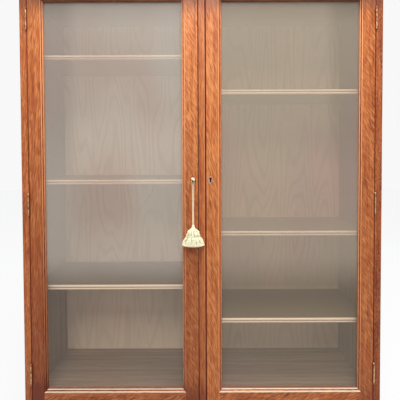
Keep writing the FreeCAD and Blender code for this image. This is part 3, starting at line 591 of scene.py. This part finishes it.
# The veil is thicker above these heights
HAZE_HEIGHTS = (0.49, 0.64)
# It is thinner near the head of each pane and along its outer edge, darkening what is seen there as
# painted shade
PANE_HEAD_SHADE_HEIGHTS = (1.41, 1.47)
PANE_HEAD_SHADE = 0.17
PANE_EDGE_SHADE_REACH = (0.41, 0.47)
PANE_EDGE_SHADE_HEIGHTS = (0.80, 1.10)
PANE_EDGE_SHADE = 0.2
SMEAR_SHARE = 0.05
PANE_BUMP = 0.3
PANE_BUMP_DEPTH = 0.004
PANE_ROUGH = 0.1
SMEAR_ROUGH = 0.1
PANE_SHINE = 0.5


def glass_finish(name, veil_reflection, veil_base, haze):
    material, pen = new_finish(name)
    place = pen.node("TexCoord", {}, {}, "Object")
    height = along(pen, place, "Z")
    outward = abs(along(pen, place, "X"))
    ripple = noise(pen, place, LEVEL, *PANE_RIPPLE, PANE_OFFSET)
    smear = noise(pen, place, LEVEL, *PANE_SMEAR, PANE_OFFSET)
    upper = rise(pen, height, *HAZE_HEIGHTS)
    outer_part = rise(pen, outward, *PANE_EDGE_SHADE_REACH) * rise(pen, height, *PANE_EDGE_SHADE_HEIGHTS)
    # Painted shade: less veil near the head and outer edge of the pane
    pane_shade = rise(pen, height, *PANE_HEAD_SHADE_HEIGHTS) * PANE_HEAD_SHADE + outer_part * PANE_EDGE_SHADE
    amount = (veil_base + smear * SMEAR_SHARE + upper * haze) * (1 - pane_shade)
    # A pale veil over the glass, partly a film of dust and partly painted reflection of the room
    veil = pen.node("BsdfPrincipled", {}, {
        "Base Color": mixed(pen, rise(pen, smear, *ROSE_STEP), veil_reflection, VEIL_REFLECTION_ROSE),
        "Roughness": PANE_ROUGH + smear * SMEAR_ROUGH,
        "Normal": bumps(pen, PANE_BUMP, PANE_BUMP_DEPTH, ripple),
        "Specular IOR Level": PANE_SHINE,
    })
    clear = pen.node("BsdfTransparent", {}, {"Color": GLASS_CLEAR})
    surface = pen.node("MixShader", {}, {0: amount, 1: clear, 2: veil})
    pen.node("OutputMaterial", {}, {"Surface": surface}, None)
    return material


dress("left_door_glass", glass_finish("left_pane", VEIL_REFLECTION_LEFT, veil_base=0.048, haze=0.235))
dress("right_door_glass", glass_finish("right_pane", VEIL_REFLECTION_RIGHT, veil_base=0.09, haze=0.15))


# Brassware. Butt hinges with ball tips, keyhole plates and striking plates are cast and
# rolled brass, browned in their corners and rubbed bright where hands touch them.

KNUCKLE_HIGHLIGHT = colour(220, 176, 136)
BRASS_BROWN = colour(120, 66, 36)
PLATE_BRIGHT = colour(204, 152, 126)
BRASS_PATCHES = ((0.006, 0.006, 0.012), 3.0)
BRASS_SPECKS = ((0.0008, 0.0008, 0.0008), 1.0)
SPECK_SHARE = 0.2
BRIGHT_STEP = (0.5, 0.75)
# On a hinge only a line along the middle of the knuckle is bright, a painted highlight
KNUCKLE_HIGHLIGHT_HALF = 0.0014
KNUCKLE_HIGHLIGHT_SOFT = 0.0008
BRASS_BUMP = 0.2
BRASS_BUMP_DEPTH = 0.0003
BRASS_METAL = 0.7
BRIGHT_METAL = 0.3
BRASS_ROUGH = 0.5
BRIGHT_GLOSS = 0.2


def brass_finish(name, rubbed_and_highlight_paint, wear, knuckle_x=None):
    material, pen = new_finish(name)
    place = pen.node("TexCoord", {}, {}, "Object")
    patch = noise(pen, place, LEVEL, *BRASS_PATCHES, UNMOVED)
    speck = noise(pen, place, LEVEL, *BRASS_SPECKS, UNMOVED)
    rubbed_and_highlight_share = rise(pen, patch + speck * SPECK_SHARE + wear, *BRIGHT_STEP)
    # On a hinge the rubbed patches show only along the knuckle, as a painted highlight
    if knuckle_x:
        outward = abs(along(pen, place, "X"))
        line_low = knuckle_x - KNUCKLE_HIGHLIGHT_HALF
        line_high = knuckle_x + KNUCKLE_HIGHLIGHT_HALF
        rubbed_and_highlight_share = rubbed_and_highlight_share * strip(pen, outward, line_low, line_high, KNUCKLE_HIGHLIGHT_SOFT)
    coat(pen, {"Base Color": mixed(pen, rubbed_and_highlight_share, BRASS_BROWN, rubbed_and_highlight_paint),
               "Metallic": BRASS_METAL + rubbed_and_highlight_share * BRIGHT_METAL,
               "Roughness": BRASS_ROUGH - rubbed_and_highlight_share * BRIGHT_GLOSS,
               "Normal": bumps(pen, BRASS_BUMP, BRASS_BUMP_DEPTH, speck)})
    return material


hinge_joint = next(joint for joint in frame["joints"] if joint["name"] == "right_door_hinge")
hinge_brass = brass_finish("hinge_brass", KNUCKLE_HIGHLIGHT, wear=0.04, knuckle_x=hinge_joint["pos_m"][0])
plate_brass = brass_finish("plate_brass", PLATE_BRIGHT, wear=0.15)
# The left keyhole plate is painted dark brown all over, as the shade beside the key
browned_brass = brass_finish("browned_brass", BRASS_BROWN, wear=-0.3)
for piece in ("case_hinge_leaves", "left_door_hinge_leaves", "right_door_hinge_leaves", "hinge_pins"):
    dress(piece, hinge_brass)
for piece in ("right_door_escutcheon", "keeper_plates"):
    dress(piece, plate_brass)
dress("left_door_escutcheon", browned_brass)


# Steelware. Lock cases and bolts, shelf pins, wood screws and the key are mild steel, turned or
# pressed, dull grey with a brown bloom, and the key is polished by use. The lock cases are painted
# near black instead, as the shade seen through the keyholes.

STEEL_CLEAN = colour(196, 192, 184)
STEEL_BLOOM = colour(96, 84, 72)
LOCK_SHADE_DARK = colour(24, 10, 6)
STEEL_BLACK = colour(14, 9, 8)
KEY_BRIGHT = colour(255, 236, 200)
STEEL_PATCHES = ((0.008, 0.008, 0.008), 3.0)
BLOOM_STEP = (0.35, 0.65)
BLOOM_DULLS = 0.3
BLOOM_ROUGH = 0.25


def steel_finish(name, clean, brown, polish, metal, rough):
    material, pen = new_finish(name)
    place = pen.node("TexCoord", {}, {}, "Object")
    patch = noise(pen, place, LEVEL, *STEEL_PATCHES, UNMOVED)
    bloom = rise(pen, patch, BLOOM_STEP[0] + polish, BLOOM_STEP[1] + polish)
    coat(pen, {"Base Color": mixed(pen, bloom, clean, brown),
               "Metallic": metal - bloom * BLOOM_DULLS,
               "Roughness": rough + bloom * BLOOM_ROUGH})
    return material


dull_steel = steel_finish("dull_steel", STEEL_CLEAN, STEEL_BLOOM, polish=0.0, metal=1.0, rough=0.28)
# Painted near black, as the shade seen through the keyholes
lock_steel = steel_finish("lock_steel", LOCK_SHADE_DARK, STEEL_BLACK, polish=0.0, metal=0.3, rough=0.7)
key_steel = steel_finish("key_steel", KEY_BRIGHT, STEEL_BLOOM, polish=0.3, metal=1.0, rough=0.24)
DULL_PIECES = ("left_door_lock_bolt", "right_door_lock_bolt", "left_door_screws",
               "right_door_screws", "case_screws", "back_panel_screws", "shelf_pins")
for piece in DULL_PIECES:
    dress(piece, dull_steel)
for piece in ("left_door_lock_case", "right_door_lock_case"):
    dress(piece, lock_steel)
dress("key", key_steel)


# Key cord. Cotton cord laid up from three strands, 3 mm thick, looped round the neck of
# the key. Its two legs hang side by side, and both ends are sewn into the tassel.

COTTON_PALE = colour(255, 250, 214)
CORD_PALE = colour(255, 230, 192)
HEM_ROSE = colour(252, 226, 192)
COTTON_FOLD = colour(206, 192, 140)
COTTON_CREASE_SHADE = colour(138, 132, 76)
THREAD_TURN = (0.3, 0.2, 0.4)
COTTON_THREADS = ((0.0006, 0.0006, 0.003), 2.0)
COTTON_SOIL = ((0.012, 0.012, 0.008), 2.0)
FOLD_STEP = (0.45, 0.75)
THREAD_SHARE = 0.3
CREASE_STEP = (0.30, 0.9)
CREASE_SOIL = 0.8
CREASE_SHARE = 0.75
COTTON_BUMP = 0.5
COTTON_BUMP_DEPTH = 0.0004
COTTON_ROUGH = 0.85
THREAD_ROUGH = 0.1
COTTON_SHINE = 0.15
COTTON_SHEEN = 0.25
COTTON_SHEEN_ROUGH = 0.5


def cotton_finish(name, pale, soiled):
    material, pen = new_finish(name)
    place = pen.node("TexCoord", {}, {}, "Object")
    crease = pen.node("Attribute", {"attribute_name": "crease"}, {}, "Fac")
    thread = noise(pen, place, THREAD_TURN, *COTTON_THREADS, UNMOVED)
    soil = noise(pen, place, LEVEL, *COTTON_SOIL, UNMOVED)
    fold = rise(pen, soil, *FOLD_STEP) * soiled + thread * (soiled * THREAD_SHARE)
    body = mixed(pen, fold, pale, COTTON_FOLD)
    # Painted shade in the creases of the folds
    shaded = rise(pen, crease + (soil - MIDDLE) * CREASE_SOIL, *CREASE_STEP)
    body = mixed(pen, shaded * CREASE_SHARE, body, COTTON_CREASE_SHADE)
    coat(pen, {"Base Color": body, "Roughness": COTTON_ROUGH + thread * THREAD_ROUGH,
               "Normal": bumps(pen, COTTON_BUMP, COTTON_BUMP_DEPTH, thread),
               "Specular IOR Level": COTTON_SHINE, "Sheen Weight": COTTON_SHEEN,
               "Sheen Roughness": COTTON_SHEEN_ROUGH})
    return material


cotton = cotton_finish("ivory_cotton", COTTON_PALE, soiled=0.5)
cord_cotton = cotton_finish("cord_cotton", CORD_PALE, soiled=0.1)
hem_cotton = cotton_finish("hem_cotton", HEM_ROSE, soiled=0.3)

turn_joint = next(joint for joint in frame["joints"] if joint["name"] == "left_key_turn")
swing_joint = next(joint for joint in frame["joints"] if joint["name"] == "tassel_swing")
key_axis = Vector(turn_joint["pos_m"])
cord_plane = swing_joint["pos_m"][1]
# The left leg from the tassel up to the key, across and up from the key's axis
CORD_LEFT = ((-0.0016, -0.153), (-0.0016, -0.019), (-0.0050, -0.0055), (-0.0048, 0.0043))
cord_points = list(CORD_LEFT) + [(-across, up) for across, up in reversed(CORD_LEFT)]
ROUTE_ORDER = 3
ROUTE_STEPS = 24
# How thick a strand is, how far it lies from the cord's middle, and the length of its turn
STRAND_COUNT = 3
STRAND_THICK = 0.00092
STRAND_OUT = 0.00076
STRAND_FACETS = 2
TWIST_PITCH = 0.0085
TWIST_STEPS = 14

route = bpy.data.curves.new("cord_route", "CURVE")
route.dimensions = "3D"
route_line = route.splines.new("NURBS")
route_line.points.add(len(cord_points) - 1)
for point, (across, up) in zip(route_line.points, cord_points):
    point.co = (key_axis.x + across, cord_plane, key_axis.z + up, 1.0)
route_line.order_u = ROUTE_ORDER
route_line.use_endpoint_u = True
route_line.resolution_u = ROUTE_STEPS
route_object = bpy.data.objects.new("cord_route", route)
bpy.context.scene.collection.objects.link(route_object)
route_mesh = bpy.data.meshes.new_from_object(route_object)
cord_path = [vertex.co.copy() for vertex in route_mesh.vertices]
bpy.data.meshes.remove(route_mesh)
bpy.data.objects.remove(route_object)

run_lengths = [0.0]
for before, after in zip(cord_path, cord_path[1:]):
    run_lengths.append(run_lengths[-1] + (after - before).length)
whole_run = run_lengths[-1]


def along_route(distance):
    # The point and the direction of the route at a distance from its start
    for index in range(1, len(cord_path)):
        if distance <= run_lengths[index] or index == len(cord_path) - 1:
            step = cord_path[index] - cord_path[index - 1]
            spare = distance - run_lengths[index - 1]
            return cord_path[index - 1] + step.normalized() * spare, step.normalized()


strand_steps = round(whole_run / TWIST_PITCH * TWIST_STEPS)
strand_objects = []
for strand in range(STRAND_COUNT):
    curve = bpy.data.curves.new("strand", "CURVE")
    curve.dimensions = "3D"
    curve.bevel_depth = STRAND_THICK
    curve.bevel_resolution = STRAND_FACETS
    curve.use_fill_caps = True
    thread_line = curve.splines.new("POLY")
    thread_line.points.add(strand_steps)
    for step in range(strand_steps + 1):
        distance = whole_run * step / strand_steps
        spot, heading = along_route(distance)
        side = heading.cross(Vector((0, 1, 0))).normalized()
        angle = 2 * math.pi * (distance / TWIST_PITCH + strand / STRAND_COUNT)
        spot = spot + STRAND_OUT * (side * math.cos(angle) + Vector((0, 1, 0)) * math.sin(angle))
        thread_line.points[step].co = (*spot, 1.0)
    strand_object = bpy.data.objects.new("strand", curve)
    bpy.context.scene.collection.objects.link(strand_object)
    strand_objects.append(strand_object)
for strand_object in strand_objects:
    strand_object.select_set(True)
bpy.context.view_layer.objects.active = strand_objects[0]
bpy.ops.object.convert(target="MESH")
bpy.ops.object.join()
cord = bpy.context.view_layer.objects.active
cord.name = "twisted_cord"
bpy.ops.object.shade_smooth()
cord.data.materials.clear()
cord.data.materials.append(cord_cotton)
bpy.ops.object.select_all(action="DESELECT")
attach(cord, "tassel")
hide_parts("key_cord")


# Tassel. Ivory cotton, gathered: a knob and a puckered bulb on the cord, over a wider
# skirt of soft folds with a rolled hem. It is pressed flat enough to hang clear of the
# door, and all of it is sewn together, so it swings as one.

tassel_low, tassel_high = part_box("key_tassel")
tassel_middle = (tassel_low + tassel_high) / 2
tassel_height = tassel_high.z - tassel_low.z
half_wide = (tassel_high.x - tassel_low.x) / 2
half_deep = (tassel_high.y - tassel_low.y) / 2
# Points round a ring, and how much fuller the form is from front to back than across
FORM_AROUND = 192
DEEP_GAIN = 1.35
FRONT = -math.pi / 2
RING_STEP = 0.004
# How far the skirt and its hem hang lower at the front and back, as a share of the height
SAG = 0.04
# From the top down: height, half width and depth of the folds, all as shares
HEAD_RINGS = (
    (1.0, 0.03, 0.0), (0.995, 0.08, 0.0), (0.975, 0.11, 0.0), (0.945, 0.12, 0.0),
    (0.91, 0.115, 0.02), (0.88, 0.14, 0.04), (0.85, 0.18, 0.08), (0.82, 0.23, 0.12),
    (0.79, 0.29, 0.16), (0.76, 0.37, 0.20), (0.73, 0.45, 0.23), (0.70, 0.51, 0.25),
    (0.66, 0.55, 0.26), (0.62, 0.58, 0.26), (0.58, 0.605, 0.26), (0.54, 0.62, 0.25),
    (0.50, 0.63, 0.23), (0.465, 0.63, 0.20), (0.435, 0.60, 0.15), (0.41, 0.52, 0.08),
    (0.40, 0.3, 0.03), (0.40, 0.1, 0.0),
)
SKIRT_RINGS = (
    (0.52, 0.1, 0.0), (0.515, 0.3, 0.02), (0.505, 0.42, 0.08), (0.485, 0.53, 0.14),
    (0.46, 0.61, 0.20), (0.435, 0.67, 0.24), (0.41, 0.725, 0.27), (0.385, 0.77, 0.28),
    (0.36, 0.81, 0.28), (0.33, 0.85, 0.27), (0.30, 0.885, 0.26), (0.27, 0.91, 0.25),
    (0.24, 0.93, 0.24), (0.21, 0.945, 0.22), (0.18, 0.96, 0.20), (0.15, 0.965, 0.18),
    (0.12, 0.965, 0.16), (0.095, 0.955, 0.12), (0.07, 0.93, 0.08), (0.06, 0.7, 0.03),
    (0.06, 0.4, 0.0), (0.06, 0.1, 0.0),
)
# Two waves that bend the folds sideways: their size in radians, how many go round the form,
# and how far they turn from its foot to its head
FOLD_WAVES = ((0.5, 2, 7), (0.35, 3, -11))
# How sharp the lobes and the rows of puckers are, how deep they cut into the form, how
# strongly the paint shades them, and how far a row waves
LOBE_POWER = 0.4
LOBE_CUT = 1.1
LOBE_SHADE = 4
ROW_POWER = 0.7
ROW_CUT = 0.5
ROW_SHADE = 2
ROW_SWAY = 1.3


def gathered_form(name, rings, lobes, rows, sag):
    bpy.ops.mesh.primitive_circle_add(vertices=FORM_AROUND, radius=half_wide, fill_type="NOTHING")
    form = bpy.context.object
    form.name = name
    bpy.ops.object.mode_set(mode="EDIT")
    bpy.ops.mesh.select_all(action="SELECT")
    for _ in rings[1:]:
        bpy.ops.mesh.extrude_region_move(TRANSFORM_OT_translate={"value": (0, 0, -RING_STEP)})
    bpy.ops.object.mode_set(mode="OBJECT")
    crease = form.data.attributes.new("crease", "FLOAT", "POINT")
    for vertex in form.data.vertices:
        share_up, share_out, fold = rings[vertex.index // FORM_AROUND]
        angle = math.atan2(vertex.co.y, vertex.co.x)
        wander = 0.0
        for size, count, turn in FOLD_WAVES:
            wander += size * math.sin(count * angle + turn * share_up)
        lobe = abs(math.cos(lobes / 2 * (angle - FRONT) + wander)) ** LOBE_POWER
        row = abs(math.cos(rows * math.pi * share_up + ROW_SWAY * math.sin(2 * angle))) ** ROW_POWER
        out = share_out * (1 - fold * (1 - lobe) * LOBE_CUT - fold * (1 - row) * ROW_CUT)
        shaded = LOBE_SHADE * fold * (1 - lobe) + ROW_SHADE * fold * (1 - row)
        crease.data[vertex.index].value = min(1.0, shaded)
        deep = min(1.0, out * DEEP_GAIN)
        low = sag * (1 - math.cos(angle) ** 2) * (1 - share_up)
        vertex.co = (
            tassel_middle.x + half_wide * out * math.cos(angle),
            tassel_middle.y + half_deep * deep * math.sin(angle),
            tassel_low.z + tassel_height * (share_up - low),
        )
    # Each end ring is drawn together into one point
    for end in (FORM_AROUND * (len(rings) - 1), 0):
        bpy.ops.object.mode_set(mode="EDIT")
        bpy.ops.mesh.select_all(action="DESELECT")
        bpy.ops.object.mode_set(mode="OBJECT")
        for index in range(end, end + FORM_AROUND):
            form.data.vertices[index].select = True
        bpy.ops.object.mode_set(mode="EDIT")
        bpy.ops.mesh.select_mode(type="VERT")
        bpy.ops.mesh.merge(type="CENTER")
        bpy.ops.object.mode_set(mode="OBJECT")
    bpy.ops.object.mode_set(mode="EDIT")
    bpy.ops.mesh.select_all(action="SELECT")
    bpy.ops.mesh.normals_make_consistent(inside=False)
    bpy.ops.object.mode_set(mode="OBJECT")
    bpy.ops.object.shade_smooth()
    form.data.materials.append(cotton)
    bpy.ops.object.select_all(action="DESELECT")
    return form


tassel_head = gathered_form("tassel_head", HEAD_RINGS, lobes=11, rows=4, sag=0.0)
tassel_skirt = gathered_form("tassel_skirt", SKIRT_RINGS, lobes=10, rows=0, sag=SAG)

HEM_THICK = 0.0031
HEM_OUT = 0.915
HEM_UP = 0.085
HEM_PRESSED = 0.6
HEM_GROOVES = 46
GROOVE_CUT = 0.09
GROOVE_LEAN = 0.5
GROOVE_POWER = 3
STEPS_TO_A_GROOVE = 6
HEM_FACETS = 14
bpy.ops.mesh.primitive_torus_add(major_segments=HEM_GROOVES * STEPS_TO_A_GROOVE,
                                 minor_segments=HEM_FACETS,
                                 major_radius=half_wide, minor_radius=HEM_THICK)
tassel_hem = bpy.context.object
tassel_hem.name = "tassel_hem"
hem_wide = half_wide * HEM_OUT
hem_deep = half_deep * HEM_OUT - HEM_THICK * HEM_PRESSED
for vertex in tassel_hem.data.vertices:
    around = math.atan2(vertex.co.y, vertex.co.x)
    out = math.hypot(vertex.co.x, vertex.co.y) - half_wide
    section = math.atan2(vertex.co.z, out)
    wave = abs(math.sin(HEM_GROOVES / 2 * around + section * GROOVE_LEAN))
    groove = 1 - GROOVE_CUT * wave ** GROOVE_POWER
    ring_z = tassel_low.z + tassel_height * (HEM_UP - SAG * (1 - math.cos(around) ** 2))
    vertex.co = (
        tassel_middle.x + (hem_wide + out * groove) * math.cos(around),
        tassel_middle.y + (hem_deep + out * groove) * math.sin(around),
        ring_z + vertex.co.z * groove,
    )
bpy.ops.object.shade_smooth()
tassel_hem.data.materials.append(hem_cotton)
bpy.ops.object.select_all(action="DESELECT")

for piece in (tassel_head, tassel_skirt, tassel_hem):
    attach(piece, "tassel")
    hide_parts("key_tassel")


# Room for the picture. A pale floor, a white surround, one wide soft lamp overhead and
# a weaker one in front, and the camera.

FLOOR_REACH = 9.0
FLOOR_SIDES = 96
WHITE = (0.94, 0.94, 0.94, 1.0)
FLOOR_PALE = (0.95, 0.95, 0.95, 1.0)
FLOOR_DIM = (0.45, 0.45, 0.45, 1.0)
FLOOR_GLOW = 1.10
FLOOR_GLOW_SHARE = 0.80
SURROUND_COOL = (0.95, 0.97, 1.0, 1.0)
SURROUND_DIM = 0.5


def seen_rays(pen):
    # 1 for rays that show the room itself, straight, mirrored or through glass
    shown = pen.node("LightPath", {}, {}, "Is Camera Ray")
    glossy = pen.node("LightPath", {}, {}, "Is Glossy Ray")
    through = pen.node("LightPath", {}, {}, "Is Transmission Ray")
    return pen.math("MAXIMUM", pen.math("MAXIMUM", shown, glossy), through)


bpy.ops.mesh.primitive_circle_add(vertices=FLOOR_SIDES, radius=FLOOR_REACH, fill_type="NGON")
floor = bpy.context.object
floor.name = "studio_floor"
floor_paint, pen = new_finish("floor_paint")
seen = seen_rays(pen)
matt = pen.node("BsdfDiffuse", {}, {"Color": mixed(pen, seen, FLOOR_DIM, FLOOR_PALE)})
glow = pen.node("Emission", {}, {"Color": WHITE, "Strength": FLOOR_GLOW})
floor_surface = pen.node("MixShader", {}, {0: seen * FLOOR_GLOW_SHARE, 1: matt, 2: glow})
pen.node("OutputMaterial", {}, {"Surface": floor_surface}, None)
floor.data.materials.append(floor_paint)
bpy.ops.object.select_all(action="DESELECT")

surround = bpy.data.worlds.new("surround")
bpy.context.scene.world = surround
surround.use_nodes = True
surround.node_tree.nodes.clear()
pen = Wire(surround.node_tree)
dim = pen.node("Background", {}, {"Color": SURROUND_COOL, "Strength": SURROUND_DIM})
white = pen.node("Background", {}, {"Color": WHITE, "Strength": 1.0})
surround_surface = pen.node("MixShader", {}, {0: seen_rays(pen), 1: dim, 2: white})
pen.node("OutputWorld", {}, {"Surface": surround_surface}, None)

# Place, aim, size and power of each lamp
LAMPS = {
    "overhead_lamp": ((0.25, -0.62, 2.75), (0.05, -0.1, 0.8), 1.1, 40.0),
    "front_lamp": ((-0.2, -3.0, 3.6), (0.0, 0.0, 1.0), 1.2, 68.0),
}
for name, (place, aim, size, power) in LAMPS.items():
    lamp = bpy.data.lights.new(name, "AREA")
    lamp.size = size
    lamp.energy = power
    lamp_object = bpy.data.objects.new(name, lamp)
    bpy.context.scene.collection.objects.link(lamp_object)
    lamp_object.location = place
    lamp_object.rotation_euler = (Vector(aim) - Vector(place)).to_track_quat("-Z", "Y").to_euler()

# In metres, degrees, millimetres and shares of the picture's width
CAMERA_PLACE = (0.0064, -1.2608, 0.9824)
CAMERA_DOWN = 1.31
CAMERA_ROLL = -0.209
CAMERA_LENS = 29.85
CAMERA_SENSOR = 36.0
CAMERA_SHIFT = (-0.0091, -0.1004)

camera = bpy.data.cameras.new("camera")
camera.lens = CAMERA_LENS
camera.sensor_width = CAMERA_SENSOR
camera.shift_x, camera.shift_y = CAMERA_SHIFT
camera_object = bpy.data.objects.new("camera", camera)
bpy.context.scene.collection.objects.link(camera_object)
camera_object.location = CAMERA_PLACE
camera_object.rotation_mode = "ZYX"
camera_object.rotation_euler = (math.radians(90 - CAMERA_DOWN), 0, math.radians(CAMERA_ROLL))
bpy.context.scene.camera = camera_object
bpy.context.scene.view_settings.view_transform = "Standard"
